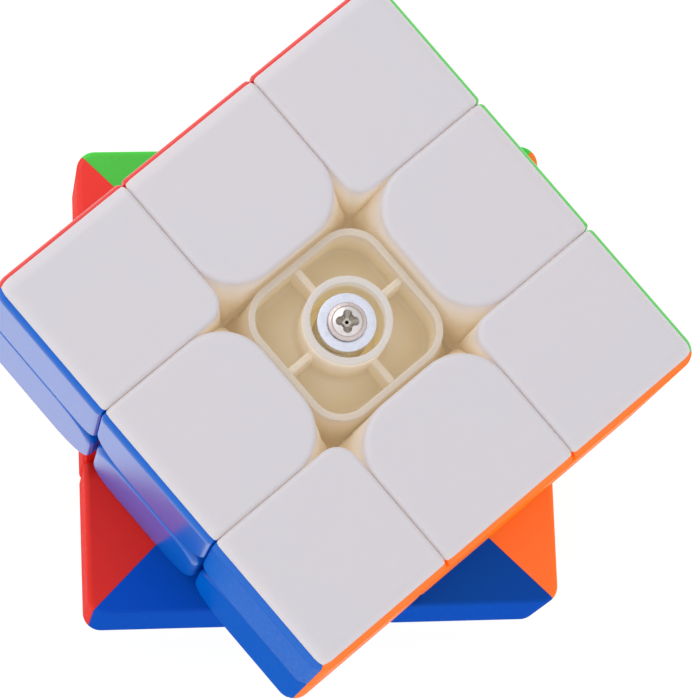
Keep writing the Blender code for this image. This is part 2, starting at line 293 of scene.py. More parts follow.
def corner_block():
    s = steps_between(LO, HALF, R_CORNER_IN, R_OUTER, 14, 9, 3)
    verts, faces = [], []
    for k in range(3):
        for side in (LO, HALF):
            v, f = grid(lambda a, b: np.roll((a, b, side), k), s, s)
            faces += [[i + len(verts) for i in q] for q in f]
            verts += v
    low = (LO + R_CORNER_IN,) * 3
    high = (HALF - R_OUTER,) * 3
    return weld(mesh_from(project(verts, corner_field, low, high), faces))


def edge_block():
    s = steps_between(EDGE_IN, HALF, R_EDGE_IN, R_OUTER, 16, 9, 3)
    t = steps_between(-EDGE_HALF, EDGE_HALF, R_EDGE_IN, R_EDGE_IN, 16, 16, 3)
    verts, faces = [], []
    for fn, us, vs in ((lambda a, b: (a, -b, HALF), t, s), (lambda a, b: (a, -b, EDGE_IN), t, s),
                       (lambda a, b: (a, -HALF, b), t, s), (lambda a, b: (a, -EDGE_IN, b), t, s),
                       (lambda a, b: (EDGE_HALF, -a, b), s, s), (lambda a, b: (-EDGE_HALF, -a, b), s, s)):
        v, f = grid(fn, us, vs)
        faces += [[i + len(verts) for i in q] for q in f]
        verts += v
    low = (-(EDGE_HALF - R_EDGE_IN), -(HALF - R_OUTER), EDGE_IN + R_EDGE_IN)
    high = (EDGE_HALF - R_EDGE_IN, -(EDGE_IN + R_EDGE_IN), HALF - R_OUTER)
    return weld(mesh_from(project(verts, edge_field, low, high), faces))


def corner_shell():
    """The part of the +X +Y +Z corner piece that is nearest its +Z face."""
    square = [(LO, LO), (STALK_END, LO), (STALK_END, STALK_END), (LO, STALK_END)]
    wide = [(FOOT, FOOT), (40, FOOT), (40, 40), (FOOT, 40)]
    foot = combine(ball(TRACK_OUT, 5), ('INTERSECT', prism(wide, FOOT, 40)))
    whole = combine(corner_block(), ('UNION', prism(square, LO, STALK_END)), ('UNION', foot),
                    ('DIFFERENCE', ball(TRACK_IN, 5)))
    d = SPLIT * math.sqrt(2)
    # a pyramid with its tip at the core and two sides on the planes z = x and z = y
    wedge = mesh_from([(-1, -1, -1 + d), (60, -1, 60 + d), (60, 60, 60 + d), (-1, 60, 60 + d), (-1, -1, 60 + d)],
                      [[0, 1, 2], [0, 2, 3], [0, 3, 4], [0, 4, 1], [1, 4, 3, 2]])
    weld(wedge, 1e-5)
    return block_normals(tidy(combine(whole, ('INTERSECT', wedge))), corner_field)


def edge_shell():
    """The part of the -Y +Z edge piece that is nearest its +Z face."""
    e = EDGE_IN + 0.02
    neck = prism([(-22, e), (-e, e), (-e, 22), (-22, 22)], -NECK, NECK, "X")
    foot = combine(ball(TRACK_OUT, 5),
                   ('INTERSECT', prism([(-40, FOOT), (-FOOT, FOOT), (-FOOT, 40), (-40, 40)], -NECK, NECK, "X")))
    whole = combine(edge_block(), ('DIFFERENCE', ball(TRACK_CUT, 5)), ('UNION', neck), ('UNION', foot),
                    ('DIFFERENCE', ball(TRACK_IN, 5)))
    d = SPLIT * math.sqrt(2)
    wedge = prism([(1, -1 + d), (-60, 60 + d), (1, 60 + d)], -20, 20, "X")
    return block_normals(tidy(combine(whole, ('INTERSECT', wedge))), edge_field)


# ------------------------------------------------------------------ lofted pieces
def ring_square(h, r, n):
    """Rounded square (h half width, r corner radius): n / 8 points along each half side
    and the rest round each corner, so that rings of different radii match point for point."""
    side, arc = n // 8, n // 8
    quarter = []
    for i in range(side):
        quarter.append((h, -(h - r) + 2 * (h - r) * (i + 0.5) / side))
    for i in range(arc):
        a = math.pi / 2 * (i + 0.5) / arc
        quarter.append((h - r + r * math.cos(a), h - r + r * math.sin(a)))
    out = []
    for k in range(4):
        c, s = (1, 0, -1, 0)[k], (0, 1, 0, -1)[k]
        out += [(c * x - s * y, s * x + c * y) for x, y in quarter]
    return np.array(out)


ANGLES = {}


def ring_circle(radius, n, like_square=False):
    """Circle; with like_square its points stand at the angles of a rounded square's."""
    if like_square:
        if n not in ANGLES:
            q = ring_square(1.0, 0.5, n)
            ANGLES[n] = np.unwrap(np.arctan2(q[:, 1], q[:, 0]))
        a = ANGLES[n]
    else:
        a = 2 * np.pi * (np.arange(n) + 0.5) / n
    return np.stack([radius * np.cos(a), radius * np.sin(a)], 1)


def loft(rings, closed=True):
    """rings: list of (n x 2 outline, height or n heights).  A closed list makes a ring-shaped solid."""
    n = len(rings[0][0])
    verts = []
    for xy, z in rings:
        zz = np.broadcast_to(z, (n,))
        verts += [(p[0], p[1], h) for p, h in zip(xy, zz)]
    m = len(rings)
    faces = []
    for i in range(m if closed else m - 1):
        j = (i + 1) % m
        for k in range(n):
            l = (k + 1) % n
            faces.append([i * n + k, i * n + l, j * n + l, j * n + k])
    if not closed:
        faces.append([k for k in range(n)][::-1])
        faces.append([(m - 1) * n + k for k in range(n)])
    me = mesh_from(verts, faces)
    bm = bmesh.new()
    bm.from_mesh(me)
    bmesh.ops.recalc_face_normals(bm, faces=bm.faces)
    bm.to_mesh(me)
    bm.free()
    return me


def cup_mesh():
    """Centre piece at +Z."""
    n = 160
    rings = []
    c = lambda r: ring_circle(r, n, True)
    q = lambda h, r: ring_square(h, r, n)
    dome = lambda xy, R: np.sqrt(np.maximum(R * R - (xy ** 2).sum(1), 1))
    # foot of the tube
    rings += [(c(SEAT_HOLE), TUBE_FOOT), (c(TUBE_OUT - 0.25), TUBE_FOOT)]
    for i in range(1, 5):
        a = math.radians(22.5 * i)
        rings.append((c(TUBE_OUT - 0.25 + 0.25 * math.sin(a)), TUBE_FOOT + 0.25 * (1 - math.cos(a))))
    # underside of the dome, from the tube out to the cup's wall
    inner, outer = c(TUBE_OUT), q(CUP_HALF, 1.0)
    rings.append((inner, dome(inner, TRACK_CUT) - 0.3))
    for i in range(0, 9):
        t = 0.06 + 0.94 * i / 8
        xy = inner + (outer - inner) * t
        rings.append((xy, dome(xy, TRACK_CUT)))
    # outer wall, its corners nearly square at the foot and round at the rim
    low = np.minimum(dome(outer, TRACK_CUT), 17.4)
    for i in range(1, 13):
        t = i / 12.5
        rings.append((q(CUP_HALF, 1.0 + (CUP_R - 1.0) * min(t * 1.12, 1) ** 0.7), low + (CUP_RIM - 0.2 - low) * t))
    f = 0.2
    for i in range(0, 7):
        a = math.radians(15 * i)
        d = f * (1 - math.cos(a))
        rings.append((q(CUP_HALF - d, CUP_R - d), CUP_RIM - f + f * math.sin(a)))
    hi, ri = CUP_HALF - CUP_WALL, CUP_R - CUP_WALL
    for i in range(0, 7):
        a = math.radians(90 - 15 * i)
        d = f * (1 - math.cos(a))
        rings.append((q(hi + d, ri + d), CUP_RIM - f + f * math.sin(a)))
    wall = q(hi, ri)
    g = 0.9     # rounding between the wall and the floor
    floor = dome(wall, CUP_FLOOR_R)
    for t in (0.2, 0.5, 0.8):
        rings.append((wall, CUP_RIM - f + (floor + g - CUP_RIM + f) * t))
    for i in range(0, 7):
        a = math.radians(15 * i)
        d = g * (1 - math.cos(a))
        xy = q(hi - d, max(ri - d, 0.4))
        rings.append((xy, dome(xy, CUP_FLOOR_R) + g * (1 - math.sin(a))))
    # floor, from the wall in to the tube
    g2 = 0.7
    start, end = q(hi - g, max(ri - g, 0.4)), c(TUBE_OUT + g2)
    for i in range(1, 8):
        xy = start + (end - start) * i / 8
        rings.append((xy, dome(xy, CUP_FLOOR_R)))
    for i in range(0, 7):
        a = math.radians(15 * i)
        r = TUBE_OUT + g2 * (1 - math.sin(a))
        xy = c(r)
        rings.append((xy, dome(xy, CUP_FLOOR_R) + g2 * (1 - math.cos(a))))
    # tube, with a slight draft
    base = dome(c(TUBE_OUT), CUP_FLOOR_R)[0] + g2
    for t in (0.3, 0.65, 1.0):
        rings.append((c(TUBE_OUT - 0.04 * t), base + (TUBE_TOP - 0.2 - base) * t))
    f = 0.17
    ro = TUBE_OUT - 0.04
    for i in range(1, 7):
        a = math.radians(15 * i)
        rings.append((c(ro - f * (1 - math.cos(a))), TUBE_TOP - f + f * math.sin(a)))
    for i in range(0, 7):
        a = math.radians(90 - 15 * i)
        rings.append((c(TUBE_IN + f * (1 - math.cos(a))), TUBE_TOP - f + f * math.sin(a)))
    for t in (0.25, 0.6, 1.0):
        rings.append((c(TUBE_IN), TUBE_TOP - f + (SEAT_TOP + 0.3 - TUBE_TOP + f) * t))
    for i in range(1, 5):
        a = math.radians(22.5 * i)
        rings.append((c(TUBE_IN - 0.3 * (1 - math.cos(a))), SEAT_TOP + 0.3 * (1 - math.sin(a))))
    rings += [(c(2.9), SEAT_TOP), (c(SEAT_HOLE), SEAT_TOP)]
    body = loft(rings)
    # ribs: thin plates with rounded tops, from the tube to the walls
    t, top = RIB_T / 2, RIB_TOP
    prof = [(-t - 0.06, 17.2), (t + 0.06, 17.2)] + \
           [(t - 0.3 * (1 - math.cos(math.radians(a))), top - 0.3 + 0.3 * math.sin(math.radians(a))) for a in range(0, 91, 15)] + \
           [(-t + 0.3 * (1 - math.cos(math.radians(a))), top - 0.3 + 0.3 * math.sin(math.radians(a))) for a in range(90, -1, -15)]
    steps = []
    for k in range(4):
        rib = prism(prof, TUBE_OUT - 0.45, hi + 0.4, "Y")
        rib.transform(Matrix.Rotation(k * math.pi / 2, 4, 'Z'))
        steps.append(('UNION', rib))
    return tidy(combine(body, *steps), 40)


def cap_mesh():
    """Centre cap at +Z."""
    n = 160
    q = lambda h, r: ring_square(h, max(r, 0.2), n)
    h, r, f = CUP_HALF, CUP_R, 1.1
    rings = [(q(h - 0.12, r - 0.12), CAP_BOTTOM), (q(h, r), CAP_BOTTOM + 0.12), (q(h, r), CAP_BOTTOM + 1.0), (q(h, r), HALF - f)]
    for i in range(1, 10):
        a = math.radians(10 * i)
        d = f * (1 - math.cos(a))
        rings.append((q(h - d, r - d), HALF - f + f * math.sin(a)))
    for d in (2.2, 4.0, 6.0, 7.8):
        rings.append((q(h - d, r - d if r > d else 0.6), HALF))
    top = loft(rings, closed=False)
    lo, li = CAP_LIP_OUT, CAP_LIP_IN
    lip = loft([(q(li, 2.6), CAP_LIP_END), (q(lo - 0.15, 3.25), CAP_LIP_END), (q(lo, 3.4), CAP_LIP_END + 0.15),
                (q(lo, 3.4), CAP_BOTTOM + 0.5), (q(li, 2.6), CAP_BOTTOM + 0.5)])
    room = loft([(q(li, 2.6), CAP_LIP_END - 1), (q(li, 2.6), CAP_ROOM)], closed=False)
    return tidy(combine(top, ('UNION', lip), ('DIFFERENCE', room)), 40)


def washer_mesh():
    n = 96
    c = lambda r: ring_circle(r, n)
    f = 0.09
    rings = []
    for r0, s, z0, zs in ((WASHER_OUT, -1, WASHER_BOTTOM, 1), (WASHER_OUT, -1, WASHER_TOP, -1),
                          (WASHER_IN, 1, WASHER_TOP, -1), (WASHER_IN, 1, WASHER_BOTTOM, 1)):
        arc = []
        for i in range(0, 5):
            a = math.radians(22.5 * i)
            arc.append((c(r0 + s * f * (1 - math.cos(a))), z0 + zs * f * (1 - math.sin(a))))
        # walk each corner the same way round
        if (s, zs) in ((-1, 1), (1, -1)):
            arc = arc[::-1]
        rings += arc
    return tidy(loft(rings), 40)


def screw_mesh():
    """Pan-head screw at +Z: a low flange round a raised dome, a deep cross recess, a thread."""
    n = 96
    c = lambda r: ring_circle(r, n)
    dome_r, shoulder = 5.2, 1.62
    z_dome = lambda r: HEAD_TOP - (dome_r - math.sqrt(dome_r ** 2 - r ** 2))
    rings = [(c(0.02), HEAD_TOP)]
    for i in range(1, 12):
        rings.append((c(shoulder * i / 11), z_dome(shoulder * i / 11)))
    # the dome's shoulder runs softly down to the flange
    for i in range(1, 9):
        t = i / 8
        rings.append((c(shoulder + 0.2 * t), z_dome(shoulder) - 0.05 * t - 0.11 * (3 * t * t - 2 * t ** 3)))
    z1 = z_dome(shoulder) - 0.16
    rings.append((c(HEAD_R - 0.16), z1 - 0.03))
    for i in range(1, 6):
        a = math.radians(18 * i)
        rings.append((c(HEAD_R - 0.16 + 0.16 * math.sin(a)), z1 - 0.03 - 0.14 * (1 - math.cos(a))))
    rings.append((c(HEAD_R), HEAD_BOTTOM + 0.03))
    rings.append((c(HEAD_R - 0.03), HEAD_BOTTOM))
    rings.append((c(SHANK_R + 0.12), HEAD_BOTTOM))
    rings.append((c(SHANK_R), HEAD_BOTTOM - 0.12))
    # unthreaded neck, then the thread as a helical swelling of the rings
    neck = 15.0
    rings.append((c(SHANK_R), neck))
    pitch, depth = 0.8, 0.2
    a = 2 * np.pi * (np.arange(n) + 0.5) / n
    z = neck
    while z > SHANK_END + 0.9:
        z -= pitch / 8
        phase = (z / pitch - a / (2 * np.pi)) % 1.0
        tri = 1 - np.abs(phase * 2 - 1)
        r = SHANK_R - depth + depth * np.clip(tri * 1.5 - 0.2, 0, 1)
        rings.append((np.stack([r * np.cos(a), r * np.sin(a)], 1), z))
    rings.append((c(SHANK_R - depth), SHANK_END + 0.7))
    rings.append((c(0.5), SHANK_END))
    rings.append((c(0.02), SHANK_END))
    body = loft(rings, closed=False)
    # cross recess: two crossed round-ended slots that narrow with depth, and a pilot cone
    def slot_ring(l, w, m=12):
        """Outline of a slot with round ends: l half length, w half width."""
        out = []
        for side in (1, -1):
            for i in range(m + 1):
                a = -math.pi / 2 + math.pi * i / m
                out.append((side * (l - w + w * math.cos(a)), side * w * math.sin(a)))
        return np.array(out)

    steps = []
    for k in range(2):
        wing = loft([(slot_ring(l, w), HEAD_TOP + z) for l, w, z in
                     ((0.5, 0.24, -1.0), (0.85, 0.34, -0.7), (1.22, 0.44, -0.3), (1.42, 0.5, -0.1), (1.56, 0.56, 0.2))], closed=False)
        wing.transform(Matrix.Rotation(k * math.pi / 2, 4, 'Z'))
        steps.append(('DIFFERENCE', wing))
    cone = loft([(ring_circle(0.12, 32), HEAD_TOP - 1.7), (ring_circle(0.2, 32), HEAD_TOP - 1.02),
                 (ring_circle(0.74, 32), HEAD_TOP - 0.5), (ring_circle(1.0, 32), HEAD_TOP + 0.2)], closed=False)
    steps.append(('DIFFERENCE', cone))
    me = tidy(combine(body, *steps), 35)
    me.transform(Matrix.Rotation(math.radians(RECESS_TURN), 4, 'Z'))
    return me


def spring_mesh():
    per, sides = 40, 12
    total = per * SPRING_TURNS
    rings = []
    flat = 0.75 * WIRE_R * 2.1
    for i in range(total + 1):
        turns = SPRING_TURNS * i / total
        rise = max(0.0, min(turns - 0.75, SPRING_TURNS - 1.5)) / (SPRING_TURNS - 1.5)
        z = SPRING_BOTTOM + min(turns, 0.75) * flat + max(0.0, turns - (SPRING_TURNS - 0.75)) * flat \
            + rise * (SPRING_TOP - SPRING_BOTTOM - 1.5 * flat)
        a = 2 * math.pi * turns
        for k in range(sides):
            b = 2 * math.pi * k / sides
            rr = SPRING_R + WIRE_R * math.cos(b)
            rings.append((rr * math.cos(a), rr * math.sin(a), z + WIRE_R * math.sin(b)))
    faces = []
    for i in range(total):
        for k in range(sides):
            n = (k + 1) % sides
            faces.append([i * sides + k, (i + 1) * sides + k, (i + 1) * sides + n, i * sides + n])
    faces.append(list(range(sides)))
    faces.append([total * sides + k for k in range(sides)][::-1])
    return tidy(weld(mesh_from(rings, faces), 1e-5), 50)


# ------------------------------------------------------------------ materials
def lin(rgb):
    return [((c / 255 + 0.055) / 1.055) ** 2.4 if c > 10 else c / 255 / 12.92 for c in rgb]


def new_material(name):
    m = bpy.data.materials.new(name)
    m.use_nodes = True
    nt = m.node_tree
    return m, nt, nt.nodes["Principled BSDF"]


def node(nt, kind, **inputs):
    nd = nt.nodes.new(kind)
    for k, v in inputs.items():
        nd.inputs[k.replace("_", " ")].default_value = v
    return nd


def gloss_plastic(name, rgb, deep, rough=0.2, graze=1.3, glow=0.0, face=1.42, grain=0.03):
    """Moulded ABS: a faint flow mottle in the colour, a fine moulded texture, uneven gloss."""
    m, nt, b = new_material(name)
    L = nt.links.new
    tc = nt.nodes.new("ShaderNodeTexCoord")
    big = node(nt, "ShaderNodeTexNoise", Scale=90.0, Detail=3.0, Roughness=0.5)
    L(tc.outputs["Object"], big.inputs["Vector"])
    mix = nt.nodes.new("ShaderNodeMix")
    mix.data_type = 'RGBA'
    mix.inputs["A"].default_value = (*lin(rgb), 1)
    mix.inputs["B"].default_value = (*lin(deep), 1)
    ramp = nt.nodes.new("ShaderNodeMapRange")
    ramp.inputs["From Min"].default_value = 0.42
    ramp.inputs["From Max"].default_value = 0.62
    ramp.inputs["To Max"].default_value = 0.35
    L(big.outputs["Fac"], ramp.inputs["Value"])
    L(ramp.outputs["Result"], mix.inputs["Factor"])
    L(mix.outputs["Result"], b.inputs["Base Color"])
    fine = node(nt, "ShaderNodeTexNoise", Scale=1500.0, Detail=2.0, Roughness=0.5)
    L(tc.outputs["Object"], fine.inputs["Vector"])
    rr = nt.nodes.new("ShaderNodeMapRange")
    rr.inputs["From Min"].default_value = 0.3
    rr.inputs["From Max"].default_value = 0.7
    rr.inputs["To Min"].default_value = rough * (0.85 if grain else 1.05)
    rr.inputs["To Max"].default_value = rough * (1.25 if grain else 1.05)
    L(fine.outputs["Fac"], rr.inputs["Value"])
    L(rr.outputs["Result"], b.inputs["Roughness"])
    bump = nt.nodes.new("ShaderNodeBump")
    bump.inputs["Strength"].default_value = grain
    bump.inputs["Distance"].default_value = 0.00002
    L(fine.outputs["Fac"], bump.inputs["Height"])
    L(bump.outputs["Normal"], b.inputs["Normal"])
    lw = node(nt, "ShaderNodeLayerWeight", Blend=0.5)
    io = nt.nodes.new("ShaderNodeMapRange")
    io.inputs["From Min"].default_value = 0.3
    io.inputs["From Max"].default_value = 0.74
    io.inputs["To Min"].default_value = face
    io.inputs["To Max"].default_value = graze
    L(lw.outputs["Facing"], io.inputs["Value"])
    L(io.outputs["Result"], b.inputs["IOR"])
    # painted glow: emission in the plastic's own colour, as if it gave off light
    if glow:
        b.inputs["Emission Color"].default_value = (*lin(rgb), 1)
        b.inputs["Emission Strength"].default_value = glow
    return m


def height_ramp(nt, z, stops, own_light=False):
    """Colour by height above the core; stops: (height in mm, colour), from the top down."""
    top, low = stops[0][0], stops[-1][0]
    depth = nt.nodes.new("ShaderNodeMapRange")
    depth.inputs["From Min"].default_value = top * MM
    depth.inputs["From Max"].default_value = low * MM
    nt.links.new(z, depth.inputs["Value"])
    ramp = nt.nodes.new("ShaderNodeValToRGB")
    ramp.color_ramp.interpolation = 'LINEAR' if own_light else 'EASE'
    els = ramp.color_ramp.elements
    while len(els) < len(stops):
        els.new(0.5)
    for i, (h, rgb) in enumerate(stops):
        els[i].position = (top - h) / (top - low)
    for i, (h, rgb) in enumerate(stops):
        els[i].color = (*(rgb if own_light else lin(rgb)), 1)
    nt.links.new(depth.outputs["Result"], ramp.inputs["Fac"])
    return ramp.outputs["Color"]


def white_plastic(name, stops, through, inner=(), rough=0.32, sss=0.3, sss_mm=1.2):
    """Uncoloured translucent plastic, with light and shade painted in by height.  stops: the base
    colour by height, cool and even on the outer face and a darker, warmer cream deeper down
    (painted shade and painted bounce light); through: a painted glow (emission) by height,
    standing in for light that comes through the thin walls and bounces in the gaps;
    inner: (radius in mm, the same by height) for the parts nearer the axis than that."""
    m, nt, b = new_material(name)
    L = nt.links.new
    tc = nt.nodes.new("ShaderNodeTexCoord")
    sep = nt.nodes.new("ShaderNodeSeparateXYZ")
    L(tc.outputs["Object"], sep.inputs["Vector"])
    # painted shade: the base colour by height, cool white at the face, darker and warmer cream deeper down
    base = height_ramp(nt, sep.outputs["Z"], stops)
    big = node(nt, "ShaderNodeTexNoise", Scale=60.0, Detail=2.0, Roughness=0.5)
    L(tc.outputs["Object"], big.inputs["Vector"])
    tint = nt.nodes.new("ShaderNodeMix")
    tint.data_type = 'RGBA'
    tint.inputs["A"].default_value = (0.985, 0.985, 1.0, 1)
    tint.inputs["B"].default_value = (1.0, 0.985, 0.99, 1)
    mr = nt.nodes.new("ShaderNodeMapRange")
    mr.inputs["From Min"].default_value = 0.35
    mr.inputs["From Max"].default_value = 0.65
    L(big.outputs["Fac"], mr.inputs["Value"])
    L(mr.outputs["Result"], tint.inputs["Factor"])
    mul = nt.nodes.new("ShaderNodeMix")
    mul.data_type = 'RGBA'
    mul.blend_type = 'MULTIPLY'
    mul.inputs["Factor"].default_value = 1.0
    L(base, mul.inputs["A"])
    L(tint.outputs["Result"], mul.inputs["B"])
    L(mul.outputs["Result"], b.inputs["Base Color"])
    # painted glow: emission by height, and by radius near the axis, standing in for light through the thin walls and
    # bounced in the gaps
    light = height_ramp(nt, sep.outputs["Z"], through, True)
    if inner:
        flat = nt.nodes.new("ShaderNodeCombineXYZ")
        L(sep.outputs["X"], flat.inputs["X"])
        L(sep.outputs["Y"], flat.inputs["Y"])
        length = nt.nodes.new("ShaderNodeVectorMath")
        length.operation = 'LENGTH'
        L(flat.outputs["Vector"], length.inputs[0])
        for radius, soft, by_height in inner:
            mask = nt.nodes.new("ShaderNodeMapRange")
            mask.inputs["From Min"].default_value = radius * MM
            mask.inputs["From Max"].default_value = (radius + soft) * MM
            mask.inputs["To Min"].default_value = 1.0
            mask.inputs["To Max"].default_value = 0.0
            L(length.outputs["Value"], mask.inputs["Value"])
            mx = nt.nodes.new("ShaderNodeMix")
            mx.data_type = 'RGBA'
            L(mask.outputs["Result"], mx.inputs["Factor"])
            L(light, mx.inputs["A"])
            L(height_ramp(nt, sep.outputs["Z"], by_height, True), mx.inputs["B"])
            light = mx.outputs["Result"]
    L(light, b.inputs["Emission Color"])
    b.inputs["Emission Strength"].default_value = 1.0
    fine = node(nt, "ShaderNodeTexNoise", Scale=1800.0, Detail=4.0, Roughness=0.6)
    L(tc.outputs["Object"], fine.inputs["Vector"])
    rr = nt.nodes.new("ShaderNodeMapRange")
    rr.inputs["To Min"].default_value = rough * 0.8
    rr.inputs["To Max"].default_value = rough * 1.2
    L(fine.outputs["Fac"], rr.inputs["Value"])
    L(rr.outputs["Result"], b.inputs["Roughness"])
    bump = nt.nodes.new("ShaderNodeBump")
    bump.inputs["Strength"].default_value = 0.04
    bump.inputs["Distance"].default_value = 0.00002
    L(fine.outputs["Fac"], bump.inputs["Height"])
    L(bump.outputs["Normal"], b.inputs["Normal"])
    b.inputs["IOR"].default_value = 1.45
    b.inputs["Subsurface Weight"].default_value = sss
    b.inputs["Subsurface Radius"].default_value = (1.0, 0.8, 0.55)
    b.inputs["Subsurface Scale"].default_value = sss_mm * MM
    return m


def metal(name, rgb, rough, speckle=0.0, scale=900.0, bump_d=0.00003):
    m, nt, b = new_material(name)
    L = nt.links.new
    tc = nt.nodes.new("ShaderNodeTexCoord")
    no = node(nt, "ShaderNodeTexNoise", Scale=scale, Detail=5.0, Roughness=0.65)
    L(tc.outputs["Object"], no.inputs["Vector"])
    vo = node(nt, "ShaderNodeTexVoronoi", Scale=scale * 2.2)
    L(tc.outputs["Object"], vo.inputs["Vector"])
    mix = nt.nodes.new("ShaderNodeMix")
    mix.data_type = 'RGBA'
    c = lin(rgb)
    mix.inputs["A"].default_value = (*c, 1)
    mix.inputs["B"].default_value = (*[x * (1 - speckle) for x in c], 1)
    mr = nt.nodes.new("ShaderNodeMapRange")
    mr.inputs["From Min"].default_value = 0.5
    mr.inputs["From Max"].default_value = 0.75
    L(no.outputs["Fac"], mr.inputs["Value"])
    L(mr.outputs["Result"], mix.inputs["Factor"])
    L(mix.outputs["Result"], b.inputs["Base Color"])
    b.inputs["Metallic"].default_value = 1.0
    rr = nt.nodes.new("ShaderNodeMapRange")
    rr.inputs["To Min"].default_value = rough * 0.6
    rr.inputs["To Max"].default_value = rough * 1.4
    L(vo.outputs["Distance"], rr.inputs["Value"])
    L(rr.outputs["Result"], b.inputs["Roughness"])
    bump = nt.nodes.new("ShaderNodeBump")
    bump.inputs["Strength"].default_value = 0.35
    bump.inputs["Distance"].default_value = bump_d
    L(no.outputs["Fac"], bump.inputs["Height"])
    L(bump.outputs["Normal"], b.inputs["Normal"])
    return m


MAT = {
    # painted shade and glow: the white shells turn a darker cream deeper down, and the second list is a painted glow
    # by height
    "white": white_plastic(
        "white_shell", ((27.7, (213, 210, 214)), (26.6, (213, 207, 203)), (24.0, (216, 206, 189)),
                        (21.0, (208, 192, 161)), (18.4, (188, 165, 120))),
        ((28.0, (0, 0, 0)), (27.8, (0.03, 0.026, 0.024)), (27.4, (0.115, 0.096, 0.08)), (26.8, (0.155, 0.14, 0.128)),
         (25.5, (0.195, 0.171, 0.15)), (23.5, (0.205, 0.174, 0.142)), (21.5, (0.2, 0.164, 0.122)), (19.5, (0.195, 0.157, 0.108)),
         (18.4, (0.185, 0.15, 0.1)), (17.0, (0.17, 0.135, 0.088)))),
    "blue": gloss_plastic("blue_shell", (3, 102, 206), (3, 97, 199), rough=0.22, face=1.32, grain=0.0),
    "green": gloss_plastic("green_shell", (66, 213, 64), (60, 203, 58)),
    # painted glow: the orange gives off a little light of its own colour
    "orange": gloss_plastic("orange_shell", (255, 122, 24), (252, 114, 22), graze=1.008, glow=0.1),
    "red": gloss_plastic("red_shell", (236, 42, 32), (224, 37, 28), face=1.38),
    "yellow": gloss_plastic("yellow_shell", (250, 218, 10), (242, 208, 8)),
}
CUP_MAT = dict(MAT)
# painted shade and glow on the white cup: colour by height and a painted glow by height over the cup
CUP_MAT["white"] = white_plastic(
    "white_cup", ((27.0, (213, 207, 201)), (24.4, (208, 198, 183)), (22.0, (213, 201, 180)), (17.0, (208, 195, 169))),
    ((24.6, (0.01, 0.01, 0.01)), (24.2, (0.09, 0.083, 0.073)), (23.0, (0.138, 0.121, 0.093)), (20.0, (0.158, 0.133, 0.087)),
     (18.0, (0.145, 0.12, 0.077)), (16.0, (0.125, 0.097, 0.058))),
    # stronger painted glows: on the tube's rim (within 5.2 mm of the axis) and down the bore (within 4.4 mm)
    ((5.2, 0.5, ((27.0, (0, 0, 0)), (26.8, (0.16, 0.152, 0.142)), (26.4, (0.31, 0.29, 0.255)), (26.0, (0.3, 0.278, 0.24)), (24.5, (0.21, 0.18, 0.145)),
                 (22.5, (0.18, 0.148, 0.105)), (20.0, (0.145, 0.115, 0.078)))),
     (4.4, 0.1, ((27.0, (0, 0, 0)), (26.7, (0.14, 0.125, 0.105)), (25.8, (0.25, 0.215, 0.15)), (24.6, (0.27, 0.218, 0.13)),
                 (22.0, (0.31, 0.245, 0.135)), (16.0, (0.28, 0.21, 0.1))))),
    rough=0.35, sss=0.4, sss_mm=1.6)
# painted shade and painted light: copies of the blue, red and green for single pieces, with darker or lighter base
# colours and dimmer grazing reflections, for faces turned from or towards the light
SHADED_BLUE_TOP = gloss_plastic("blue_shell_top_shaded", (3, 103, 207), (3, 97, 199), rough=0.34, graze=1.034, face=1.38)
SHADED_BLUE_MID = gloss_plastic("blue_shell_mid_shaded", (2, 95, 201), (2, 90, 194), rough=0.34, graze=1.01, face=1.36)
SHADED_BLUE_LOW = gloss_plastic("blue_shell_low_shaded", (2, 82, 193), (2, 78, 187), rough=0.35, graze=1.006, face=1.16)
SHADED_RED_LOW = gloss_plastic("red_shell_low_shaded", (241, 41, 31), (228, 36, 27), rough=0.35, graze=1.02, face=1.3)
LIT_RED_UP = gloss_plastic("red_shell_up_lit", (244, 52, 38), (232, 46, 34), rough=0.35, graze=1.02, face=1.42)
LIT_AND_SHADED = {("corner_white_blue_orange", "blue"): SHADED_BLUE_TOP, ("edge_blue_orange", "blue"): SHADED_BLUE_MID,
         ("corner_yellow_orange_blue", "blue"): SHADED_BLUE_LOW, ("corner_yellow_blue_red", "blue"): SHADED_BLUE_LOW,
         ("edge_yellow_blue", "blue"): SHADED_BLUE_LOW, ("corner_yellow_blue_red", "red"): SHADED_RED_LOW,
         ("edge_yellow_red", "red"): SHADED_RED_LOW, ("corner_yellow_red_green", "red"): LIT_RED_UP}
# painted light: a lighter green for the one green face of the bottom layer's red-green corner
LIT_GREEN_UP = gloss_plastic("green_shell_up_lit", (72, 226, 70), (66, 216, 64), rough=0.3, graze=1.06, face=1.42)
LIT_AND_SHADED[("corner_yellow_red_green", "green")] = LIT_GREEN_UP
WASHER_MAT = metal("washer_steel", (221, 224, 237), 0.34, 0.12, 1400.0)
SCREW_MAT = metal("screw_zinc", (228, 222, 222), 0.33, 0.15, 2200.0)


